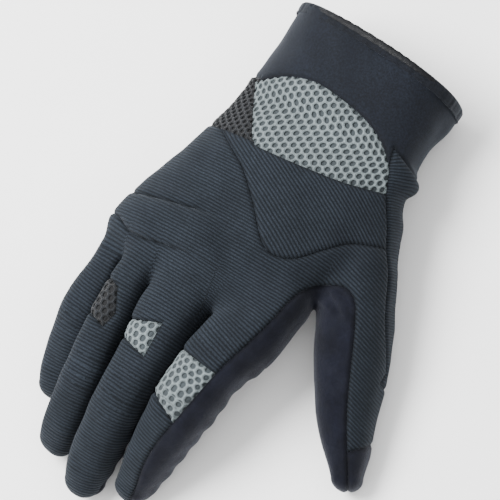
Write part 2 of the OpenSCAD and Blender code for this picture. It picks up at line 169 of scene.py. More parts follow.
class Tube:
    """A finger: a squarish section swept along a smooth line, with a round tip."""

    def __init__(self, rows):
        p = through(rows)
        self.centre, self.w, self.h = p[:, :3], p[:, 3], p[:, 4]
        t = unit(np.gradient(self.centre, axis=0))
        self.side = unit(np.cross([0, 0, 1.0], t))
        self.up = np.cross(t, self.side)
        self.t = t
        self.s = np.r_[0, np.cumsum(np.linalg.norm(np.diff(self.centre, axis=0), axis=1))]

    def local(self, x):
        """Length along the tube, sideways and upward offsets, half sizes, and how far past an end."""
        best = np.full(len(x), 1e9)
        near = np.zeros(len(x), int)
        for k in range(0, len(self.centre), 2):
            d = ((x - self.centre[k]) ** 2).sum(1)
            closer = d < best
            best[closer], near[closer] = d[closer], k
        along = ((x - self.centre[near]) * self.t[near]).sum(1)
        s = self.s[near] + along
        s_in = np.clip(s, 0, self.s[-1])
        columns = np.c_[self.centre, self.side, self.up, self.w, self.h].T
        pick = [np.interp(s_in, self.s, column) for column in columns]
        rel = x - np.stack(pick[:3], 1)
        sideways = (rel * np.stack(pick[3:6], 1)).sum(1)
        upward = (rel * np.stack(pick[6:9], 1)).sum(1)
        return s, sideways, upward, pick[9], pick[10], np.abs(s - s_in)

    def distance(self, x):
        _, l, u, w, h, past = self.local(x)
        return rounded(l, u, w, h, past, 0.95 * w, TUBE_POWER)


TUBE = {name: Tube(rows) for name, rows in TUBES.items()}
hand_line = through(HAND)[::-1]


def hand_at(y):
    """Centre x, centre z, half width and half depth of the hand at y."""
    return [np.interp(y, hand_line[:, 0], hand_line[:, k]) for k in (1, 2, 3, 4)]


def mouth_slant(x, share=1.0):
    """How far the cuff's slanting cut moves a point at x: further back on the little finger's side."""
    return -0.088 * (x + 15) * share


def hand_distance(x):
    cx, cz, w, h = hand_at(x[:, 1])
    return rounded(x[:, 0] - cx, x[:, 2] - cz, w, h, np.maximum(HAND_END_Y - x[:, 1], 0), 20, HAND_POWER)


# Neighbouring fingers meet along these lines: y, and the distances along the fingers' bend axis of where
# index, middle, ring and little part. Near the knuckles each finger leans over the next.
BEND_AXIS = np.array(JOINTS["index_bend"]["axis"])
SLOTS = np.array([
    [-120, 60, 14, -17.5, -37, -90], [-150, 60, 14, -17.5, -37, -90], [-165, 60, 14, -15.5, -35.5, -90],
    [-180, 60, 14.5, -12.5, -33.3, -90], [-205, 60, 15, -9.3, -30.6, -90]])
SLOT_LEAN = 0.22
SPLIT = {"index": -156.0, "middle": -156.0, "ring": -152.0, "little": -145.0}    # y where each one parts


def finger_range(name, x):
    """How far each point is inside the two lines that bound a finger, on either side."""
    k = FINGERS.index(name) + 1
    lean = SLOT_LEAN * (45 - x[:, 2]) * step(x[:, 1], -185, -160)
    hi, lo = (np.interp(-x[:, 1], -SLOTS[:, 0], SLOTS[:, c]) for c in (k, k + 1))
    across = x @ BEND_AXIS - lean
    return across - lo, hi - across


def finger_distance(name, x, gap):
    d = TUBE[name].distance(x)
    for side in finger_range(name, x):
        d = -smooth_min(-d, side - gap, 3.0)
    return d


def grid(lo, hi, cell):
    axes = [np.arange(lo[k], hi[k] + cell, cell) for k in range(3)]
    return axes, np.stack(np.meshgrid(*axes, indexing="ij"), -1).reshape(-1, 3)


def surface(d, axes, cell):
    """The zero surface of a field on a grid, as points and triangles that face outwards."""
    field = openvdb.FloatGrid(background=5.0)
    field.copyFromArray(np.clip(d, -4, 4).reshape([len(a) for a in axes]).astype(np.float32))
    points, _, quads = field.convertToPolygons(isovalue=0.0, adaptivity=0.0)
    points = points.astype(float) * cell + [a[0] for a in axes]
    quads = quads.astype(int)
    a, b, c, e = (points[quads[:, k]] for k in range(4))
    short = np.linalg.norm(a - c, axis=1) <= np.linalg.norm(b - e, axis=1)
    triangles = np.vstack([quads[short][:, [0, 1, 2]], quads[short][:, [0, 2, 3]],
                           quads[~short][:, [0, 1, 3]], quads[~short][:, [1, 2, 3]]])
    a, b, c = (points[triangles[:, k]] for k in range(3))
    if np.einsum("ij,ij->i", a, np.cross(b, c)).sum() < 0:
        triangles = triangles[:, ::-1]
    return points, triangles


def join(d, x, tube, margin, distance, blend):
    """Joins a tube's shape to a field d of the points x, worked out only near the tube."""
    near = ((x > tube.centre.min(0) - margin) & (x < tube.centre.max(0) + margin)).all(1)
    d[near] = smooth_min(d[near], distance(x[near]), blend)


def hand_surface(cell=0.9):
    axes, x = grid((-82, -197, -2), (108, 5, 64), cell)
    fingers = np.full(len(x), 50.0)
    for name in FINGERS:
        join(fingers, x, TUBE[name], 24, lambda near: finger_distance(name, near, -0.3), 1.2)
    d = smooth_min(hand_distance(x), fingers, 7.0)
    join(d, x, TUBE["thumb"], 30, TUBE["thumb"].distance, 6.0)
    return surface(-smooth_min(-d, x[:, 2] - FLOOR_Z, 3.0), axes, cell)


def finger_surface(name, cell=0.8):
    tube = TUBE[name]
    keep = tube.centre[:, 1] < SPLIT[name] + 8
    axes, x = grid(tube.centre[keep].min(0) - 19, tube.centre[keep].max(0) + 19, cell)
    return surface(smooth_min(finger_distance(name, x, 0.3), hand_distance(x), 7.0), axes, cell)


# ---------------- cutting surfaces into panels

def cut(points, triangles, field, snap=0.04):
    """Splits triangles along the line where a field of the points is 0."""
    value = field(points)
    value[np.abs(value) < snap] = 0
    sign = np.sign(value)[triangles]
    crossed = (sign.min(1) < 0) & (sign.max(1) > 0)
    whole, t, sign = triangles[~crossed], triangles[crossed], sign[crossed]
    if not len(t):
        return points, triangles
    corner = (sign == 0).any(1)
    lone = np.where(corner, np.argmax(sign == 0, 1), np.argmax(sign == -np.sign(sign.sum(1))[:, None], 1))
    t = np.take_along_axis(t, (lone[:, None] + [0, 1, 2]) % 3, 1)
    a, b = t[corner], t[~corner]
    ends = np.vstack([a[:, [1, 2]], b[:, [0, 1]], b[:, [0, 2]]])
    ends, index = np.unique(np.sort(ends, 1), axis=0, return_inverse=True)
    index = index.ravel() + len(points)
    f = (value[ends[:, 0]] / (value[ends[:, 0]] - value[ends[:, 1]]))[:, None]
    new = points[ends[:, 0]] * (1 - f) + points[ends[:, 1]] * f
    mid, p, q = np.split(index, [len(a), len(a) + len(b)])
    pieces = [whole, np.c_[a[:, 0], a[:, 1], mid], np.c_[a[:, 0], mid, a[:, 2]],
              np.c_[b[:, 0], p, q], np.c_[p, b[:, 1], b[:, 2]], np.c_[p, b[:, 2], q]]
    return np.vstack([points, new]), np.vstack(pieces)


def edges_of(triangles):
    """The three edges of every triangle: all first ones, then all second ones, then all third ones."""
    return np.vstack([triangles[:, [0, 1]], triangles[:, [1, 2]], triangles[:, [2, 0]]])


def open_edges(triangles):
    """The edges that only one triangle has."""
    e, n = edges_of(triangles), triangles.max() + 1
    return e[~np.isin(e[:, 0] * n + e[:, 1], e[:, 1] * n + e[:, 0])]


def normals_of(points, triangles):
    a, b, c = (points[triangles[:, k]] for k in range(3))
    face = np.cross(b - a, c - a)
    out = np.zeros_like(points)
    for k in range(3):
        np.add.at(out, triangles[:, k], face)
    out = unit(out)
    mean = out * 0.5
    for k in range(3):
        np.add.at(mean, triangles[:, k], out[triangles[:, k - 1]] + out[triangles[:, k - 2]])
    return unit(mean)


# Seams are drawn in plan on a level plane 40 mm up, looking down on the back of the hand at a slant.
PLAN_Z = 40
SLANT = np.array([0.452, -0.174])


def plan(x):
    return x[:, :2] + (PLAN_Z - x[:, 2:3]) * SLANT


def curve(*corners):
    return through(corners, 8)


def above(line):
    """A field that is positive on the cuff's side of a seam across the glove."""
    def field(x):
        q = plan(x)
        return q[:, 1] - np.interp(q[:, 0], line[:, 0], line[:, 1])
    return field


def thumbward(line, view=plan):
    """A field that is positive on the thumb's side of a seam along the glove."""
    def field(x):
        q = view(x)
        return q[:, 0] - np.interp(-q[:, 1], -line[:, 1], line[:, 0])
    return field


def inside(*curves):
    """A field that is positive inside a closed seam."""
    corners = np.vstack(curves).astype(float)

    def field(x):
        q = plan(x)
        best = np.full(len(q), 1e9)
        within = np.zeros(len(q), bool)
        for a, b in zip(corners, np.roll(corners, -1, 0)):
            ab, ap = b - a, q - a
            if ab @ ab < 1e-9:
                continue
            f = np.clip(ap @ ab / (ab @ ab), 0, 1)
            best = np.minimum(best, np.hypot(*(ap - f[:, None] * ab).T))
            if ab[1]:
                level = (a[1] > q[:, 1]) != (b[1] > q[:, 1])
                within ^= level & (q[:, 0] < ab[0] * ap[:, 1] / ab[1] + a[0])
        return np.where(within, best, -best)
    return field


def behind(y):
    """A field that is positive on the cuff's side of a straight line across the glove."""
    return lambda x: x[:, 1] - y


CUFF_LINE = curve(
    (-90, -38.5), (-49, -38.7), (-42, -38), (-31, -31.5), (-19, -28.2), (-4, -29), (18.5, -34.5),
    (33.5, -39.4), (49, -45.4), (62, -49), (110, -54))
MESH_TOP = curve(
    (-44.6, -41.5), (-34.4, -34), (-19, -29.3), (-3.5, -30.6), (12, -33.8), (26, -39.6), (35.8, -48.3),
    (42.6, -60.5))
MESH_LOW = curve(
    (42.6, -60.5), (21, -65), (2, -67), (-13.7, -68.4), (-25, -68.6), (-29.5, -66.8), (-36, -57.5),
    (-41.2, -48.5), (-44.6, -41.5))
ULNAR_LINE = curve((-90, -70.5), (-57.7, -69.7), (-41, -68), (-25, -67.4), (-10, -67))
GUSSET_LINE = curve(
    (33, -36), (36, -48.3), (42.6, -60.5), (50.5, -71.6), (58, -82.3), (68, -97), (76.5, -113),
    (90, -134))
V_SEAM = curve(
    (-60, -60), (-48.5, -67.7), (-35, -75.5), (-25, -81.6), (-12, -93), (-0.5, -104.7), (7, -109.4),
    (15, -109.2), (22.3, -105.4), (30.5, -97.2), (41.5, -87.8), (58, -82.3), (75, -78))
ROLL_TOP = curve(
    (-110, -118), (-69, -115), (-63.5, -113.9), (-43, -109.9), (-26.5, -106.9), (-16, -107.5))
ROLL_LOW = curve(
    (-110, -128), (-75, -128.1), (-67.3, -128.1), (-56, -132.5), (-40, -130), (-24.5, -127.4),
    (-11, -127.2), (-0.5, -128.4))
SUEDE_LINE = curve(
    (117, -207), (107, -192.6), (93.2, -173.3), (82.2, -156.5), (76.2, -145.6), (70.6, -134.4),
    (63.6, -121), (56.7, -110.8), (48.8, -107.4), (40, -111.9), (32.9, -118.5), (29.8, -125.7),
    (27.4, -137), (23.4, -151.5), (18.1, -170), (13.2, -200), (11.5, -211.7), (11.9, -224), (15, -235.8),
    (17.7, -245), (30, -262))
THUMB_CUT = curve(
    (42, 20), (42, -80), (41, -96), (40, -108), (40, -118), (40.5, -128), (44, -140), (48, -160),
    (62, -220))

hand_fields = {
    "cuff": above(CUFF_LINE),
    "wrist_mesh": inside(MESH_TOP, MESH_LOW),
    "mesh_top": above(MESH_TOP),
    "ulnar": above(ULNAR_LINE),
    "gusset": thumbward(GUSSET_LINE),
    "upper": above(V_SEAM),
    "roll_top": above(ROLL_TOP),
    "roll_low": above(ROLL_LOW),
    "roll_end": inside([(-110, -90), (-15, -90), (-15, -107.5), (-0.5, -128.4), (-0.5, -140),
                        (-110, -140)]),
    "roots": inside([(-110, -119), (-0.5, -119), (-0.5, -128.4), (-6.5, -142), (-7.5, -170),
                     (-110, -170)]),
    "suede": inside(SUEDE_LINE, (120, -262)),
}
thumb_side = thumbward(THUMB_CUT, lambda x: x)


def back_side(x):
    """Positive on the back of the hand: the seam round its side runs lower on the thumb's side."""
    cx, cz, w, h = hand_at(x[:, 1])
    field = x[:, 2] - (cz - 3 - 0.5 * h * step((x[:, 0] - cx) / w, 0.1, 0.9))
    on_thumb = step(x[:, 0], 34, 52) * step(-x[:, 1], 62, 92)
    near = on_thumb > 0
    _, _, u, _, th, _ = TUBE["thumb"].local(x[near])
    field[near] = (1 - on_thumb[near]) * field[near] + on_thumb[near] * (u + 0.7 * th)
    return field


CAP_POINT, CAP_WAY = np.array([93.2, -173.3]), np.array([0.607, -0.795])    # start of the thumb's cap


def cap_field(x):
    return (plan(x) - CAP_POINT) @ CAP_WAY


THUMB_WAY = np.array([0.406, -0.914, 0])
THUMB_SPLIT = 156.5                          # where the thumb's last joint is, measured along it


def thumb_split(x):
    return x @ THUMB_WAY - THUMB_SPLIT


# Straight seams across the glove, at these y.
CUFF_PALM_Y, HEEL_Y, PATCH_Y, GUSSET_Y, THUMB_Y, MOUTH_Y = -43.0, -69.0, -84.0, -63.0, -80.0, -1.2
ELASTIC_START_Y, ELASTIC_END_Y, LINING_END_Y = -27.0, -36.0, -112.0
MESH_REACH_X, ULNAR_REACH_X = 43, -20        # how far in plan the wrist's and the edge's mesh reach


def split_of(x):
    """Where the fingers part, for points on the hand: each finger has its own length of root."""
    return np.select([finger_range(name, x)[0] > 0 for name in FINGERS[:3]], list(SPLIT.values())[:3],
                     SPLIT["little"])


def hand_labels(x):
    f = {name: field(x) > 0 for name, field in hand_fields.items()}
    y, back = x[:, 1], back_side(x) > 0
    ribbed_back = back & ~f["suede"]
    on_thumb, end, cap = thumb_side(x) > 0, thumb_split(x) > 0, cap_field(x) > 0
    across, thumb_only = plan(x)[:, 0], on_thumb & (y < THUMB_Y)
    choices = [
        ("none", (y > MOUTH_Y) | ((y < split_of(x)) & ~on_thumb)),
        ("cuff_back", back & f["cuff"]),
        ("wrist_mesh", back & f["wrist_mesh"]),
        ("cuff_back", back & f["mesh_top"] & ~f["gusset"] & (np.abs(across) < MESH_REACH_X)),
        ("ulnar_mesh", back & f["ulnar"] & (across < ULNAR_REACH_X)),
        ("thumb_tip_cap", ribbed_back & on_thumb & cap & end),
        ("gusset_upper", ribbed_back & f["gusset"] & (y > GUSSET_Y)),
        ("gusset_lower", ribbed_back & f["gusset"] & ~end),
        ("upper_back", back & f["upper"]),
        ("knuckle_roll", back & f["roll_end"] & f["roll_low"] & ~f["roll_top"]),
        ("finger_roots", back & f["roots"] & ~f["roll_low"]),
        ("thumb_back_end", ribbed_back & thumb_only & end),
        ("thumb_back", ribbed_back & thumb_only),
        ("back_panel", ribbed_back),
        ("cuff_underside", ~back & (y > CUFF_PALM_Y)),
        ("palm_heel", ~back & (y > HEEL_Y)),
        ("palm_patch", ~back & (y > PATCH_Y) & ~on_thumb),
        ("thumb_inner_end", thumb_only & end),
        ("thumb_inner", thumb_only),
        ("palm_panel", np.ones(len(x), bool)),
    ]
    return np.select([c for _, c in choices], [name for name, _ in choices], "none")


HAND_CUTS = list(hand_fields.values()) + [
    back_side, thumb_side, cap_field, thumb_split, lambda x: x[:, 1] - split_of(x)] + [
    behind(y) for y in (CUFF_PALM_Y, HEEL_Y, PATCH_Y, GUSSET_Y, MOUTH_Y, ELASTIC_START_Y, ELASTIC_END_Y,
                        THUMB_Y, LINING_END_Y)]


def neighbours(triangles):
    """Pairs of triangles that share an edge, and the two ends of that edge."""
    edges = np.sort(edges_of(triangles), 1)
    owner = np.tile(np.arange(len(triangles)), 3)
    order = np.lexsort((edges[:, 1], edges[:, 0]))
    edges, owner = edges[order], owner[order]
    same = (edges[1:] == edges[:-1]).all(1)
    return np.c_[owner[:-1][same], owner[1:][same]], edges[1:][same]


def islands(count, pairs):
    parent = np.arange(count)
    while True:
        a, b = parent[pairs[:, 0]], parent[pairs[:, 1]]
        if (a == b).all():
            return parent
        np.minimum.at(parent, np.maximum(a, b), np.minimum(a, b))
        while (parent[parent] != parent).any():
            parent = parent[parent]


def area_of(points, triangles):
    a, b, c = (points[triangles[:, k]] for k in range(3))
    return np.linalg.norm(np.cross(b - a, c - a), axis=1) / 2


def tidied(labels, points, triangles, smallest=14.0):
    """Gives slivers of a panel that a seam left over to the panel beside them."""
    area = area_of(points, triangles)
    pairs, _ = neighbours(triangles)
    for _ in range(3):
        group = islands(len(triangles), pairs[labels[pairs[:, 0]] == labels[pairs[:, 1]]])
        small = np.bincount(group, area, len(triangles))[group] < smallest
        for a, b in (pairs.T, pairs.T[::-1]):
            take = small[a] & ~small[b]
            labels[group[a[take]]] = labels[b[take]]
        labels = np.where(small, labels[group], labels)
    return labels


def tree_of(points):
    tree = KDTree(len(points))
    for i, x in enumerate(points):
        tree.insert(x, i)
    tree.balance()
    return tree


def seam_distance(points, triangles, labels, unseen, reach=7.0):
    """How far each point is from the nearest seam between panels."""
    pairs, edges = neighbours(triangles)
    la, lb = labels[pairs[:, 0]], labels[pairs[:, 1]]
    seam = (la != lb) & (la != "none") & (lb != "none")
    for a, b in unseen:
        seam &= ~(((la == a) & (lb == b)) | ((la == b) & (lb == a)))
    out = np.full(len(points), reach)
    if not seam.any():
        return out, np.zeros(0, int)
    tree = tree_of(np.vstack([points[edges[seam, 0]], points[edges[seam].T].mean(0)]))
    for i, x in enumerate(points):
        out[i] = min(reach, tree.find(x)[2])
    return out, np.unique(edges[seam])


# ---------------- softness of the surface

WAVES = np.random.default_rng(7).normal(size=(24, 4))


def softness(x, length, height):
    """Gentle unevenness of stuffed cloth, the same for every piece at the same place."""
    k = unit(WAVES[:, :3]) * (2 * np.pi / length) * (0.6 + 0.5 * np.abs(WAVES[:, 3:]))
    return height * np.sin(x @ k.T + 9 * WAVES[:, 3]).sum(1) / math.sqrt(len(WAVES) / 2)


def fold(x, start, end, width, height):
    """A fold or crease along a line of the plan, tapering out at both ends."""
    q, a, b = plan(x), np.array(start), np.array(end)
    f = (q - a) @ (b - a) / ((b - a) @ (b - a))
    off = np.abs((q - a) @ np.array([-(b - a)[1], (b - a)[0]])) / np.linalg.norm(b - a)
    return height * np.exp(-(off / width) ** 2) * step(f, -0.05, 0.25) * step(-f, -1.05, -0.75)


FOLDS = [
    ((46, -110), (60, -115), 1.5, -0.9), ((50, -113), (63, -123), 1.6, 0.7),
    ((43, -113.5), (56, -121), 1.5, -0.8), ((37, -117), (48, -119), 1.5, 0.7),
    ((-62, -109), (-30, -104.5), 3.0, 0.5), ((-52, -42), (-34, -38), 2.2, 0.5),
    ((44, -53), (58, -60), 2.5, -0.9), ((50, -66), (66, -74), 3.0, 0.9), ((52, -76), (70, -90), 3.5, -0.5),
]


def roll_bulge(x):
    """The padded roll over the knuckles, which dies out towards the index finger."""
    top, low = hand_fields["roll_top"](x), hand_fields["roll_low"](x)
    share = np.clip(-top / np.maximum(low - top, 1e-6), 0, 1)
    fade = step(hand_fields["roll_end"](x), -0.5, 15)
    return 2.6 * (4 * share * (1 - share)) ** 0.65 * fade * step(back_side(x), 8, 20)


roll_fade = inside([(-45, -101), (-14, -99), (-3, -110.5), (4, -114), (4, -150), (-45, -150)])


def buried(x):
    """The seams of the knuckle roll sink out of sight on the index finger's side."""
    return 4 * step(roll_fade(x), 0, 3) * step(plan(x)[:, 0], -40, -16)


def sewn(x, seam):
    """Soft cloth, drawn in along its seams."""
    return softness(x, 46, 0.45) + softness(x, 17, 0.12) - 0.85 * np.exp(-(seam / 1.1) ** 2)


def hand_relief(x, seam):
    out, back = sewn(x, seam), step(back_side(x), -4, 4)
    for start, end, width, height in FOLDS:
        out += back * fold(x, start, end, width, height)
    return out + roll_bulge(x)


# ---------------- directions of the weave

def arc_across(x):
    """Distance across the hand along its surface, from the middle of its back."""
    cx, cz, w, h = hand_at(x[:, 1])
    l = x[:, 0] - cx
    return l + 0.5 * np.clip(l / w, -1.2, 1.2) * np.clip(h - (x[:, 2] - cz), 0, 2 * h)


def weave_on_hand(angle):
    """Distances across and along the ribs of a panel, the ribs at an angle to straight across the hand."""
    c, s = math.cos(math.radians(angle)), math.sin(math.radians(angle))

    def field(x):
        a = arc_across(x)
        return x[:, 1] * c + a * s, a * c - x[:, 1] * s
    return field


def weave_on_finger(name, y_start=-150.0):
    tube = TUBE[name]
    s_start = np.interp(-y_start, -tube.centre[:, 1], tube.s)

    def field(x):
        s, l, u, w, h, _ = tube.local(x)
        return y_start - (s - s_start), np.arctan2(u / h, l / w) * (w + h) / 2
    return field


def weave_to_fingers(angle):
    """The hand's weave, turning to run straight across each finger as it reaches them."""
    flat = weave_on_hand(angle)

    def field(x):
        rib, wale = flat(x)
        share = step(-x[:, 1], 122, 154)
        for name in FINGERS:
            lo, hi = finger_range(name, x)
            mine = (share > 0) & (lo > 0) & (hi >= 0)
            if mine.any():
                r, _ = weave_on_finger(name)(x[mine])
                rib[mine] += share[mine] * (r - rib[mine])
        return rib, wale
    return field


# ---------------- making pieces

FAR = 9.0                                    # further than the shade of a seam or hole reaches


def shell(points, normals, triangles, depth, thickness):
    """A closed skin: the triangles, the same again further in, and a rim between them."""
    used, index = np.unique(triangles, return_inverse=True)
    t, n = index.reshape(-1, 3), len(used)
    b = open_edges(t)
    outer = points[used] - normals[used] * depth
    inner = points[used] - normals[used] * (depth + thickness)
    faces = np.vstack([t, t[:, ::-1] + n, np.c_[b[:, 1], b[:, 0], b[:, 0] + n],
                       np.c_[b[:, 1], b[:, 0] + n, b[:, 1] + n]])
    return np.vstack([outer, inner]), faces


def mark(mesh, **values):
    """Gives the mesh's points the values that the materials read."""
    for key, value in values.items():
        value = np.broadcast_to(value, len(mesh.vertices)).astype(np.float32)
        mesh.attributes.new(key, "FLOAT", "POINT").data.foreach_set("value", value)


def make_object(name, points, faces, material, weave, sharp=48):
    mesh = bpy.data.meshes.new(name + "_cloth")
    mesh.from_pydata(placed(points).tolist(), [], [face.tolist() for face in faces])
    mesh.validate()
    mesh.shade_smooth()
    mesh.set_sharp_from_angle(angle=math.radians(sharp))
    rib, wale = weave(points)
    mark(mesh, rib=rib, wale=wale)
    mesh.materials.append(material)
    obj = bpy.data.objects.new(name + "_cloth", mesh)
    bpy.context.scene.collection.objects.link(obj)
    return obj


# The joints that pieces lie over: the bodies, the way from the first to the second, and how far before and
# after the pivot a piece would turn from one to the other.
FINGER_WAY = np.cross(BEND_AXIS, (0, 0, 1.0))
BLENDS = {
    "wrist_bend": ("cuff", "hand", (0, -1, 0), 14, 14),
    "knuckle_bend": ("hand", "finger_roots", (-0.152, -1, 0), 14, 20),
    "thumb_base_bend": ("hand", "thumb_middle", THUMB_WAY, 12, 12),
    "thumb_tip_bend": ("thumb_middle", "thumb_end", THUMB_WAY, 12, 12),
    **{f"{name}_bend": ("finger_roots", f"{name}_finger", FINGER_WAY, 13, 13) for name in FINGERS},
}


def attach(obj, to):
    """to is a body to ride, or a joint: then the piece is only baked where it lies, and nothing makes it
    bend.
    """
    if to not in BLENDS:
        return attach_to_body(obj, to)
    a, b, way, before, after = BLENDS[to]
    way = unit(np.array(way, float))
    placed(pivot(to) - way * before)
    placed(pivot(to) + way * after)
    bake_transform(obj)


USUAL_FILL, LEAST_FILL = 0.8, 0.31           # how much of the rectangle round it a flat piece fills


def as_sheet(points, triangles):
    """Works out the flat piece of cloth a panel is cut from, its size measured along the panel; nothing is
    done with it.
    """
    area = area_of(points, triangles).sum()
    middle = points[np.unique(triangles)]
    middle = middle - middle.mean(0)
    _, _, ways = np.linalg.svd(middle[::7], full_matrices=False)
    spread = [np.ptp(middle @ w) for w in ways[:2]]
    stretch = max(1.0, math.sqrt(area / (USUAL_FILL * spread[0] * spread[1])))
    flat = tuple(round(max(s * stretch, 2.0)) * MM for s in spread)
    area = min(area * MM * MM, flat[0] * flat[1])


# ---------------- materials

class Graph:
    """A material and its nodes."""

    def __init__(self, name):
        self.material = bpy.data.materials.new(name)
        self.material.use_nodes = True
        self.nodes, self.links = self.material.node_tree.nodes, self.material.node_tree.links
        self.surface = self.nodes["Principled BSDF"]

    def put(self, socket, value):
        if isinstance(value, bpy.types.NodeSocket):
            self.links.new(value, socket)
        elif isinstance(value, tuple) and len(value) == 3 and socket.type == "RGBA":
            socket.default_value = (*value, 1)
        else:
            socket.default_value = value

    def node(self, kind, output=0, settings=(), **inputs):
        """Makes a node; i0, i1 and so on are inputs by number. Gives the socket numbered output."""
        n = self.nodes.new("ShaderNode" + kind)
        for key, value in dict(settings).items():
            setattr(n, key, value)
        for key, value in inputs.items():
            self.put(n.inputs[int(key[1:]) if key[1:].isdigit() else key], value)
        return n.outputs[output]

    def math(self, operation, a, b=0.0):
        return self.node("Math", settings={"operation": operation}, i0=a, i1=b)

    def sum(self, *parts):
        """The sum of some values, each with its share."""
        total = 0.0
        for value, share in parts:
            total = self.node("Math", settings={"operation": "MULTIPLY_ADD"}, i0=value, i1=share, i2=total)
        return total

    def attribute(self, name):
        return self.node("Attribute", 2, {"attribute_name": name})

    def noise(self, size_mm, detail=2.0, roughness=0.6):
        place = self.node("TexCoord", 3)
        return self.node("TexNoise", 0, Vector=place, Scale=1000 / size_mm, Detail=detail,
                         Roughness=roughness)

    def ramp(self, value, low, high, to_low=0.0, to_high=1.0):
        return self.node("MapRange", 0, {"interpolation_type": "SMOOTHSTEP"}, i0=value, i1=low, i2=high,
                         i3=to_low, i4=to_high)

    def spots(self, size_mm, detail, low, high, to_low=0.0, to_high=1.0, roughness=0.6):
        """Noise, spread from one value to another."""
        return self.ramp(self.noise(size_mm, detail, roughness), low, high, to_low, to_high)

    def seam(self, reach, dark):
        """Dirt and shade along the seams."""
        return self.ramp(self.attribute("seam"), 0.2, reach, dark, 1.0)

    def wave(self, value, period):
        """0 in the valleys and 1 on the crests, once every period."""
        sine = self.math("SINE", self.math("MULTIPLY", value, 2 * math.pi / period))
        return self.sum((sine, 0.5), (1.0, 0.5))

    def weave(self, rib, wale):
        return self.math("MULTIPLY", *(self.wave(self.attribute(name), period)
                                       for name, period in (("rib", rib), ("wale", wale))))

    def tint(self, share, colour, low, high):
        """The colour times low where the share is 0, and times high where it is 1."""
        n = self.nodes.new("ShaderNodeMix")
        n.data_type = "RGBA"
        self.put(n.inputs[0], share)
        self.put(n.inputs[6], tuple(c * low for c in colour))
        self.put(n.inputs[7], tuple(c * high for c in colour))
        return n.outputs[2]

    def scaled(self, colour, *tones):
        for tone in tones:
            colour = self.node("VectorMath", 0, {"operation": "SCALE"}, i0=colour, Scale=tone)
        return colour

    def finish(self, colour, height, depth_mm, roughness, sheen, sheen_colour, specular):
        bump = self.node("Bump", 0, Strength=1.0, Distance=depth_mm * MM, Height=height)
        values = {"Base Color": colour, "Roughness": roughness, "Normal": bump, "Sheen Weight": sheen,
                  "Specular IOR Level": specular, "Sheen Roughness": 0.45, "Sheen Tint": sheen_colour}
        for key, value in values.items():
            self.put(self.surface.inputs[key], value)
        return self.material


PALE, BLUISH = (1, 1, 1), (0.75, 0.85, 1.0)


def ribbed(name, colour, period=1.5, depth_mm=0.34):
    """Ribbed stretch fabric: raised ribs of fine knit, with painted shade in their valleys and a painted
    highlight on their crests, and darker at the seams with dirt and painted shade.
    """
    g = Graph(name)
    wander = g.math("MULTIPLY", g.math("SUBTRACT", g.noise(9, 1), 0.5), 0.5)
    rib = g.math("POWER", g.wave(g.math("ADD", g.attribute("rib"), wander), period), 0.7)
    knit = g.wave(g.sum((g.attribute("wale"), 1), (rib, 0.3)), 0.62)
    height = g.sum((rib, 0.8), (knit, 0.12), (g.noise(0.35, 2), 0.25))
    # Painted light and shade: the ribs go from dark in the valleys to pale on the crests, and the knit
    # from dark to light over its loops, following their bumps.
    shade = g.scaled(g.tint(g.ramp(rib, 0.1, 0.95), colour, 0.45, 1.35),
                     g.spots(22, 3, 0.3, 0.7, 0.86, 1.12), g.spots(0.6, 3, 0.32, 0.75, 0.68, 1.42),
                     g.ramp(knit, 0, 1, 0.86, 1.12), g.seam(1.6, 0.6))
    return g.finish(shade, height, depth_mm, 0.9, 0.05, BLUISH, 0.12)


def smooth_knit(name, colour, cell=0.55, depth_mm=0.1):
    """Close, smooth fabric: the cuff's outer face, the binding and the linings."""
    g = Graph(name)
    weave = g.weave(cell, cell * 0.8)
    # Painted shade: the weave is darker in its hollows and lighter on its raised loops, following its
    # bump.
    shade = g.scaled(g.tint(weave, colour, 0.86, 1.1), g.spots(26, 4, 0.3, 0.72, 0.85, 1.14),
                     g.spots(0.9, 4, 0.34, 0.7, 0.6, 1.5, 0.7), g.seam(1.8, 0.62))
    return g.finish(shade, g.sum((weave, 0.5), (g.noise(0.4, 2), 0.6)), depth_mm, 0.84, 0.1, BLUISH, 0.14)


def suede(name, colour):
    """Synthetic suede: a fine nap, brushed lighter and darker in patches, and darker along the seams with
    dirt and painted shade.
    """
    g = Graph(name)
    shade = g.scaled(colour, g.spots(14, 4, 0.32, 0.7, 0.72, 1.35, 0.65),
                     g.spots(0.9, 3, 0.42, 0.75, 0.85, 1.35, 0.75), g.seam(2.2, 0.55))
    height = g.sum((g.noise(0.45, 4, 0.7), 0.7), (g.noise(3.5, 3), 0.9))
    return g.finish(shade, height, 0.3, g.spots(5, 2, 0.3, 0.7, 0.86, 0.98), 0.14, (0.85, 0.88, 1.0), 0.1)


def mesh_yarn(name, colour):
    """Knitted air mesh: fine loops of yarn round its holes, with painted shade between the loops and on
    the rims that dip into the holes.
    """
    g = Graph(name)
    loops = g.weave(0.52, 0.66)
    # Painted shade: darker between the loops and near each hole's edge, where the rim dips in.
    shade = g.scaled(g.tint(loops, colour, 0.84, 1.12), g.ramp(g.attribute("rim"), 0.05, 0.75, 0.66, 1.0),
                     g.spots(0.6, 3, 0.3, 0.75, 0.82, 1.18), g.spots(16, 3, 0.3, 0.7, 0.9, 1.08),
                     g.seam(2.0, 0.7))
    return g.finish(shade, g.sum((loops, 0.8), (g.noise(0.5, 2), 0.7)), 0.16, 0.8, 0.15, PALE, 0.25)


def grained_plastic(name, colour):
    """Coated piping: a smooth skin with fine wrinkles, dulled where it is handled."""
    g = Graph(name)
    shade = g.tint(g.spots(6, 3, 0.35, 0.7), colour, 0.7, 1.4)
    return g.finish(shade, g.noise(1.6, 4, 0.65), 0.5, g.spots(4, 3, 0.3, 0.7, 0.3, 0.62), 0.0, PALE, 0.13)


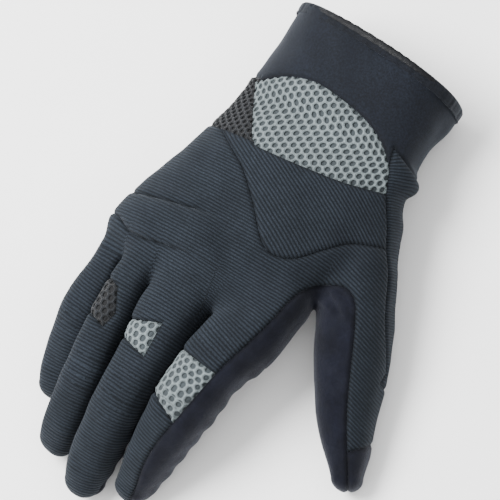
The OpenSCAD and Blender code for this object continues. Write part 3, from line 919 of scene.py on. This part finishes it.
def pile(name, colour, size=0.9, depth_mm=0.5):
    """Hook or loop tape, and open-cell foam: a rough field of tufts or cells."""
    g = Graph(name)
    cells = g.node("TexVoronoi", 0, Vector=g.node("TexCoord", 3), Scale=1000 / size)
    # Painted shade: lighter on the raised middles of the tufts or cells, darker in the hollows between
    # them.
    shade = g.scaled(g.tint(g.ramp(cells, 0.1, 0.8), colour, 1.5, 0.5), g.spots(7, 3, 0.3, 0.7, 0.8, 1.15))
    height = g.sum((g.math("SUBTRACT", 1.0, cells), 1), (g.noise(0.3, 2), 0.5))
    return g.finish(shade, height, depth_mm, 0.95, 0.1, PALE, 0.15)


CHARCOAL = (0.0094, 0.0122, 0.0165)
MATERIALS = {name: maker(name, *values) for name, (maker, *values) in {
    "ribbed_fabric": (ribbed, CHARCOAL),
    "cuff_fabric": (smooth_knit, (0.0045, 0.0060, 0.0098)),
    "cuff_binding": (smooth_knit, (0.0040, 0.0050, 0.0076), 0.8, 0.14),
    "piping": (grained_plastic, (0.0048, 0.0052, 0.0064)),
    "suede": (suede, (0.0042, 0.0048, 0.0088)),
    "suede_patch": (suede, (0.0054, 0.006, 0.0102)),
    "grey_mesh": (mesh_yarn, (0.150, 0.182, 0.192)),
    "mesh_backing": (mesh_yarn, (0.034, 0.043, 0.048)),
    "black_mesh": (mesh_yarn, (0.0070, 0.0086, 0.0115)),
    "black_backing": (mesh_yarn, (0.003, 0.0035, 0.0045)),
    "lining": (smooth_knit, (0.012, 0.0135, 0.017), 0.9, 0.12),
    "elastic": (ribbed, (0.05, 0.052, 0.058), 0.9, 0.2),
    "loop_pile": (pile, (0.013, 0.014, 0.017), 0.7, 0.5),
    "hook_tape": (pile, (0.008, 0.0085, 0.01), 1.1, 0.8),
    "foam": (pile, (0.16, 0.165, 0.175), 0.6, 0.3),
}.items()}


# ---------------- a master surface and its panels

class Surface:
    """A surface cut along its seams, each triangle labelled with its panel."""

    def __init__(self, points, triangles, cuts, label, relief, unseen=()):
        for field in cuts:
            points, triangles = cut(points, triangles, field)
        triangles = triangles[area_of(points, triangles) > 1e-7]
        labels = tidied(label(points[triangles].mean(1)), points, triangles)
        keep = labels != "none"
        self.seam, border = seam_distance(points, triangles, labels, unseen)
        sunk = buried(points)
        self.seam = np.maximum(self.seam, sunk)
        normals = normals_of(points, triangles)
        points = points + normals * relief(points, self.seam)[:, None]
        points[:, 2] = np.maximum(points[:, 2], FLOOR_Z + BINDING_OUT * step(points[:, 1], -8.5, -5.2))
        points[:, 1] += mouth_slant(points[:, 0], step(points[:, 1], -34, 0))
        self.triangles, self.labels, self.points = triangles[keep], labels[keep], points
        self.normals = normals_of(points, triangles)
        self.border = np.zeros(len(points), bool)
        self.border[border] = sunk[border] < 2

    def of(self, name):
        return self.triangles[self.labels == name]


def drawn_in(points, normals, triangles, border, gap=0.1):
    """Draws a panel's sewn edges in a little, so that a fine gap shows along the seam."""
    e = open_edges(triangles)
    inward = np.zeros_like(points)
    for k in (0, 1):
        np.add.at(inward, e[:, k], np.cross(normals[e[:, k]], unit(points[e[:, 1]] - points[e[:, 0]])))
    out = points.copy()
    out[border] += gap * unit(inward[border])
    return out


def add_panel(name, surface, panel, material, to, weave, *nodes, depth=0.0, thickness=1.4, kind="sheet",
              holes=None, fill=0.7):
    """Makes a piece from a panel, given by its label or its triangles, and attaches it to a body, or, by a
    joint, bakes it in place.
    """
    t = surface.of(panel) if isinstance(panel, str) else panel
    points, normals, seam = surface.points, surface.normals, surface.seam
    if depth == 0:
        points = drawn_in(points, normals, t, surface.border)
    rim = np.full(len(points), FAR)
    if holes:
        points, normals, seam, rim, t = pierced(points, normals, seam, t, weave, *holes)
    p, faces = shell(points, normals, t, depth, thickness)
    used = np.unique(t)
    obj = make_object(name, p, faces, MATERIALS[material], weave)
    mark(obj.data, seam=np.tile(seam[used], 2) if depth == 0 else FAR, rim=np.tile(rim[used], 2))
    attach(obj, to)
    if nodes:
        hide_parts(*nodes)
    if kind == "sheet":
        as_sheet(points, t)


def add_mesh(name, surface, panel, colour, to, weave, *nodes, thickness, depth, backing, holes):
    """A panel of air mesh, with its holes, and the backing that shows through them."""
    add_panel(name, surface, panel, colour + "_mesh", to, weave, *nodes, thickness=thickness, holes=holes)
    material = "mesh_backing" if colour == "grey" else "black_backing"
    add_panel(name + "_backing", surface, panel, material, to, weave, depth=depth, thickness=backing)


def halved(points, values, triangles):
    """Every triangle split into four, the point values shared out between."""
    edges, index = np.unique(np.sort(edges_of(triangles), 1), axis=0, return_inverse=True)
    index = index.ravel().reshape(3, -1).T + len(points)
    values = [np.concatenate([v, (v[edges[:, 0]] + v[edges[:, 1]]) / 2]) for v in [points] + values]
    a, b, c = triangles.T
    ab, bc, ca = index.T
    quarters = np.c_[a, ab, ca], np.c_[ab, b, bc], np.c_[ca, bc, c], np.c_[ab, bc, ca]
    return values[0], values[1:], np.vstack(quarters)


def pierced(points, normals, seam, triangles, weave, pitch, rows, radius):
    """Cuts a mesh fabric's staggered round holes through a panel, with rounded rims."""
    used, index = np.unique(triangles, return_inverse=True)
    points, normals, seam = points[used], normals[used], seam[used]
    points, (normals, seam), t = halved(points, [normals, seam], index.reshape(-1, 3))

    def from_hole(x):
        rib, wale = weave(x)
        row = np.round(rib / rows)
        best = np.full(len(x), FAR)
        for r in (row - 1, row, row + 1):
            shift = (r % 2) * pitch / 2
            along = (wale - shift) - np.round((wale - shift) / pitch) * pitch
            best = np.minimum(best, np.hypot(along, rib - r * rows))
        return best - radius

    count = len(points)
    points, t = cut(points, t, from_hole, 0.03)
    if len(points) > count:
        tree = tree_of(points[:count])
        near = np.array([tree.find(x)[1] for x in points[count:]])
        normals, seam = np.vstack([normals, normals[near]]), np.r_[seam, seam[near]]
    t = t[from_hole(points[t].mean(1)) > 0]
    rim = np.maximum(from_hole(points), 0)
    points = points - unit(normals) * (0.42 * (1 - step(rim, 0, 0.8)))[:, None]
    return points, unit(normals), seam, rim, t


# ---------------- the cuff and the hand

# Panels whose fabric runs on from one to the other, so that no seam shows between them.
UNSEEN = [("back_panel", "thumb_back"), ("gusset_upper", "gusset_lower"), ("finger_roots", "back_panel"),
          ("thumb_back", "thumb_back_end"), ("thumb_inner", "thumb_inner_end"),
          ("palm_panel", "thumb_inner")]


def worn_hand():
    surface = Surface(*hand_surface(), HAND_CUTS, hand_labels, hand_relief, UNSEEN)
    wrist, knuckle, thumb, tip = "wrist_bend", "knuckle_bend", "thumb_base_bend", "thumb_tip_bend"
    flat, to_fingers = weave_on_hand, weave_to_fingers

    def panel(name, material, to, weave, *nodes, of=None, **how):
        """A piece that replaces the given CAD nodes, or the one of its own name."""
        of = name if of is None else of
        add_panel(name, surface, of, material, to, weave, *(nodes or [name]), **how)

    panel("cuff_back", "cuff_fabric", wrist, flat(0))
    panel("cuff_underside", "cuff_fabric", wrist, flat(0))
    layers = {"thickness": 0.9, "depth": 1.15, "backing": 0.4}
    add_mesh("wrist_mesh", surface, "wrist_mesh", "grey", wrist, flat(-30), "wrist_mesh_upper",
             "wrist_mesh_lower", holes=(4.2, 3.2, 1.36), **layers)
    add_mesh("ulnar_mesh", surface, "ulnar_mesh", "black", wrist, flat(-30), "ulnar_mesh",
             holes=(3.6, 2.8, 1.12), **layers)
    panel("gusset_upper", "ribbed_fabric", wrist, flat(-27), "thumb_side_gusset")
    add_panel("gusset_lower", surface, "gusset_lower", "ribbed_fabric", thumb, flat(-27))
    panel("upper_back_panel", "ribbed_fabric", "hand", flat(24), of="upper_back")
    panel("back_panel", "ribbed_fabric", knuckle, to_fingers(0))
    panel("knuckle_roll", "ribbed_fabric", knuckle, to_fingers(0), "knuckle_roll_rear",
          "knuckle_roll_front", kind="padded")
    panel("knuckle_foam", "foam", knuckle, to_fingers(0), "knuckle_foam_rear", "knuckle_foam_front",
          of="knuckle_roll", depth=1.6, thickness=1.6, kind="padded", fill=0.8)
    panel("finger_roots_back", "ribbed_fabric", knuckle, to_fingers(4), "finger_root_back",
          of="finger_roots")
    panel("palm_heel", "suede", wrist, flat(0))
    panel("palm_patch", "suede_patch", "hand", flat(0), kind="padded")
    panel("palm_foam", "foam", "hand", flat(0), of="palm_patch", depth=1.6, thickness=1.8, kind="padded",
          fill=0.8)
    panel("palm_panel", "suede", knuckle, flat(0), "palm_panel", "thumb_web", "finger_root_palm")
    panel("thumb_back", "ribbed_fabric", thumb, flat(12), "thumb_root_back", "thumb_middle_back")
    panel("thumb_back_end", "ribbed_fabric", tip, flat(12), "thumb_end_back")
    panel("thumb_inner", "suede", thumb, flat(0), "thumb_root_palm", "thumb_middle_inner")
    panel("thumb_inner_end", "suede", tip, flat(0), "thumb_end_inner")
    panel("thumb_tip_cap", "suede_patch", "thumb_end", flat(0))

    middle = surface.points[surface.triangles].mean(1)
    lined = surface.triangles[(middle[:, 1] > LINING_END_Y) & (thumb_side(middle) < 0)]
    panel("glove_lining", "lining", wrist, flat(0), "cuff_lining", "hand_lining", "palm_lining", of=lined,
          depth=3.5, thickness=0.5)
    band = surface.triangles[(middle[:, 1] > ELASTIC_END_Y) & (middle[:, 1] < ELASTIC_START_Y)]
    panel("wrist_elastic", "elastic", wrist, flat(0), of=band, depth=4.3, thickness=0.7, kind="trim")


# ---------------- fingers

# The mesh vents: colour, and outline in plan.
INSERTS = {
    "index": ("grey", [(-5, -167.5), (18.1, -170.3), (13.7, -200), (0.5, -193.6), (-8, -187.5),
                       (-12, -180)]),
    "middle": ("grey", [(-37.5, -175), (-36, -168.5), (-31, -166.5), (-17.8, -161.6), (-16.8, -179.5)]),
    "ring": ("black", [(-58.6, -162), (-55, -155.2), (-47.4, -157), (-40.6, -168.8), (-43, -177),
                       (-52.8, -174)]),
}


def worn_finger(name):
    tube = TUBE[name]

    def nowhere(x):
        return np.full(len(x), -FAR)

    colour, outline = INSERTS.get(name, (None, None))
    insert = inside(outline) if outline else nowhere
    suede_side = hand_fields["suede"] if name == "index" else nowhere

    def back(x):
        s, _, u, _, h, _ = tube.local(x)
        return u + 0.45 * h * (1 - step(s - tube.s[-1], -9, 6))

    def label(x):
        is_back = (back(x) > 0) & (suede_side(x) < 0)
        return np.select([x[:, 1] > SPLIT[name], is_back & (insert(x) > 0) & (x[:, 2] > 20), is_back],
                         ["none", "insert", "back"], "palm")

    def relief(x, seam):
        s, _, u, _, h, past = tube.local(x)
        crease = 0.35 * np.sin((s - 4) * 0.55) * step(u / h, 0.35, -0.6) * step(past, 1.5, 0)
        return sewn(x, seam) + crease

    cuts = [back, insert, behind(SPLIT[name])] + ([suede_side] if name == "index" else [])
    surface = Surface(*finger_surface(name), cuts, label, relief)
    bend, weave = f"{name}_bend", weave_on_finger(name)
    for side, material in (("back", "ribbed_fabric"), ("palm", "suede")):
        add_panel(f"{name}_{side}", surface, side, material, bend, weave, f"{name}_base_{side}",
                  f"{name}_end_{side}", thickness=1.2)
    if colour:
        add_mesh(f"{name}_vent", surface, "insert", colour, bend, weave, thickness=0.8, depth=1.0,
                 backing=0.3, holes=(4.1, 3.2, 1.35))


# ---------------- edge of the cuff, and the closure

def mouth_point(angle, out):
    """A point on the edge of the cuff's mouth, some way out from its surface."""
    cx, cz, w, h = hand_at(0.0)
    c, s = np.cos(angle), np.sin(angle)
    x = cx + (w + out) * np.sign(c) * np.abs(c) ** (2 / HAND_POWER)
    z = cz + (h + out) * np.sign(s) * np.abs(s) ** (2 / HAND_POWER)
    return x, np.maximum(z, FLOOR_Z + np.maximum(BINDING_OUT - out, 0))


def swept(profile, angles, closed):
    """A closed profile of (out, y) points swept round the mouth; profile(k) gives it at angle number k."""
    rings = []
    for k, a in enumerate(angles):
        ring = profile(k)
        x, z = mouth_point(a, ring[:, 0])
        rings.append(np.c_[x, ring[:, 1] + mouth_slant(x), z])
    n, m = len(rings), len(rings[0])
    points = np.vstack(rings)
    i, j = np.meshgrid(np.arange(n if closed else n - 1), np.arange(m), indexing="ij")
    i, j = i.ravel(), j.ravel()
    i2, j2 = (i + 1) % n, (j + 1) % m
    quads = np.c_[i * m + j, i2 * m + j, i2 * m + j2, i * m + j2]
    faces = [*quads] if closed else [*quads, np.arange(m), np.arange(n * m - 1, n * m - m - 1, -1)]
    return points, faces


def arc_weave(points):
    cx, cz, w, h = hand_at(0.0)
    return points[:, 1], np.arctan2((points[:, 2] - cz) / h, (points[:, 0] - cx) / w) * 42


def cuff_edge():
    wrap = np.array([(0.10, -5.1), (0.40, -5.15), (0.62, -4.9), (0.62, -4.6), (0.42, -4.15), (0.46, -3.6),
                     (0.60, -2.6), (0.60, -0.9), (0.45, 0.15), (0.0, 0.75), (-0.8, 0.95), (-1.7, 0.6),
                     (-2.1, -0.3), (-2.2, -1.8), (-2.1, -3.0), (-1.75, -3.1), (-1.6, -2.0), (-1.55, -1.0),
                     (0.12, -1.0), (0.10, -2.2), (0.10, -3.8)])
    angles = np.linspace(0, 2 * np.pi, 420, endpoint=False)

    def profile(k):
        a = angles[k]
        ripple = 0.10 * math.sin(37 * a) + 0.07 * math.sin(61 * a + 1)
        return wrap + ripple * (wrap[:, :1] > 0.3)

    around = swept(profile, angles, True)
    round_it = np.linspace(0, 2 * np.pi, 14, endpoint=False)
    span = np.radians(np.linspace(40, 124, 200))

    def cord(k):
        f = k / (len(span) - 1)
        r = 0.95 * (math.sin(math.pi * f) ** 0.3) + 0.03
        wobble = 0.12 * math.sin(90 * f)
        return np.c_[0.7 + 0.5 * r * np.cos(round_it), wobble - 0.75 + 1.65 * r * np.sin(round_it)]

    for name, slot, (points, faces) in (("cuff_binding", "cuff_binding", around),
                                        ("cuff_piping", "piping", swept(cord, span, False))):
        obj = make_object(name, points, [face[::-1] for face in faces], MATERIALS[slot], arc_weave)
        mark(obj.data, seam=FAR)
        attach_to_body(obj, "cuff")
        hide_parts(name)


def closure():
    """The closure's flat parts: each takes its CAD solid's shape, with softened edges."""
    parts = {"closure_tab": ("cuff_fabric", "closure"), "closure_hook_patch": ("hook_tape", "closure"),
             "closure_loop_patch": ("loop_pile", "cuff"), "closure_anchor": ("cuff_fabric", "cuff")}
    for node, (material, body) in parts.items():
        solid = frame["nodes"][node]
        obj = bpy.data.objects.new(node + "_cloth", solid.data.copy())
        obj.matrix_world = solid.matrix_world
        bpy.context.scene.collection.objects.link(obj)
        bpy.context.view_layer.objects.active = obj
        weld, bevel = obj.modifiers.new("weld", "WELD"), obj.modifiers.new("bevel", "BEVEL")
        weld.merge_threshold = 0.01 * MM
        bevel.width, bevel.segments, bevel.limit_method = 0.22 * MM, 3, "ANGLE"
        for modifier in ("weld", "bevel"):
            bpy.ops.object.modifier_apply(modifier=modifier)
        mesh = obj.data
        points = np.array([in_layout(vertex.co) for vertex in mesh.vertices])
        mark(mesh, rib=points[:, 1], wale=points[:, 0], seam=FAR)
        mesh.materials.clear()
        mesh.materials.append(MATERIALS[material])
        mesh.shade_smooth()
        mesh.set_sharp_from_angle(angle=math.radians(40))
        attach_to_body(obj, body)
        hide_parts(node)
        area = sum(face.area for face in mesh.polygons) / 2
        length, width = np.sort(np.ptp(points, axis=0))[:0:-1] * MM
        length = max(length, area / width)


# ---------------- camera, light and floor

CAMERA_RIGHT = np.array([0.80468618, 0.52777359, -0.27191027])
CAMERA_BACK = np.array([0.40673664, -0.15643447, 0.90005198])
CAMERA_UP = np.cross(CAMERA_BACK, CAMERA_RIGHT)
AIM = np.array([-24.6, 15.05, 12.5]) * MM
VIEW_WIDTH = 235 * MM


def stand(obj, right, up, back, distance):
    """Stands a camera or light off from the aim, facing it."""
    turn = Matrix(np.c_[right, up, back].tolist()).to_4x4()
    turn.translation = (AIM + back * distance).tolist()
    obj.matrix_world = turn
    bpy.context.scene.collection.objects.link(obj)


def camera():
    data = bpy.data.cameras.new("camera")
    data.lens, data.sensor_width, data.clip_start = 200, 36, 0.05
    obj = bpy.data.objects.new("camera", data)
    stand(obj, CAMERA_RIGHT, CAMERA_UP, CAMERA_BACK, VIEW_WIDTH * data.lens / data.sensor_width)
    bpy.context.scene.camera = obj


def area_light(name, way, size, power, distance=0.9):
    data = bpy.data.lights.new(name, "AREA")
    data.shape, data.size, data.energy = "DISK", size, power
    obj = bpy.data.objects.new(name, data)
    way = unit(np.array(way, float))
    x = unit(np.cross([0, 1, 0.2], way))
    stand(obj, x, np.cross(way, x), way, distance)


def light_and_floor():
    world = bpy.data.worlds.new("studio")
    world.use_nodes = True
    nodes, links = world.node_tree.nodes, world.node_tree.links
    turn = nodes.new("ShaderNodeVectorMath")
    turn.operation = "DOT_PRODUCT"
    turn.inputs[1].default_value = tuple(0.35 * CAMERA_UP - CAMERA_RIGHT)
    links.new(nodes.new("ShaderNodeTexCoord").outputs["Generated"], turn.inputs[0])
    shade = nodes.new("ShaderNodeMapRange")
    for socket, value in zip(shade.inputs[1:5], (-0.9, 0.9, 0.4, 1.95)):
        socket.default_value = value
    links.new(turn.outputs["Value"], shade.inputs[0])
    links.new(shade.outputs[0], nodes["Background"].inputs["Strength"])
    nodes["Background"].inputs["Color"].default_value = (1, 1, 1, 1)
    bpy.context.scene.world = world
    area_light("key", -0.8 * CAMERA_RIGHT + 0.5 * CAMERA_UP + 0.8 * CAMERA_BACK, 0.6, 22)
    area_light("fill", 0.3 * CAMERA_RIGHT + 0.1 * CAMERA_UP + 0.95 * CAMERA_BACK, 0.7, 3)
    g = Graph("floor")
    tone = g.ramp(g.noise(120, 3), 0.3, 0.7, 0.955, 0.985)
    g.put(g.surface.inputs["Base Color"], tone)
    g.put(g.surface.inputs["Roughness"], 0.95)
    level = float(cad_bounds[0][2]) - 0.0002
    corners = [(x, y, level) for x, y in ((-1.5, -1.5), (1.5, -1.5), (1.5, 1.5), (-1.5, 1.5))]
    mesh = bpy.data.meshes.new("floor")
    mesh.from_pydata(corners, [], [(0, 1, 2, 3)])
    mesh.materials.append(g.material)
    floor = bpy.data.objects.new("floor", mesh)
    bpy.context.scene.collection.objects.link(floor)


worn_hand()
for finger in FINGERS:
    worn_finger(finger)
cuff_edge()
closure()
camera()
light_and_floor()
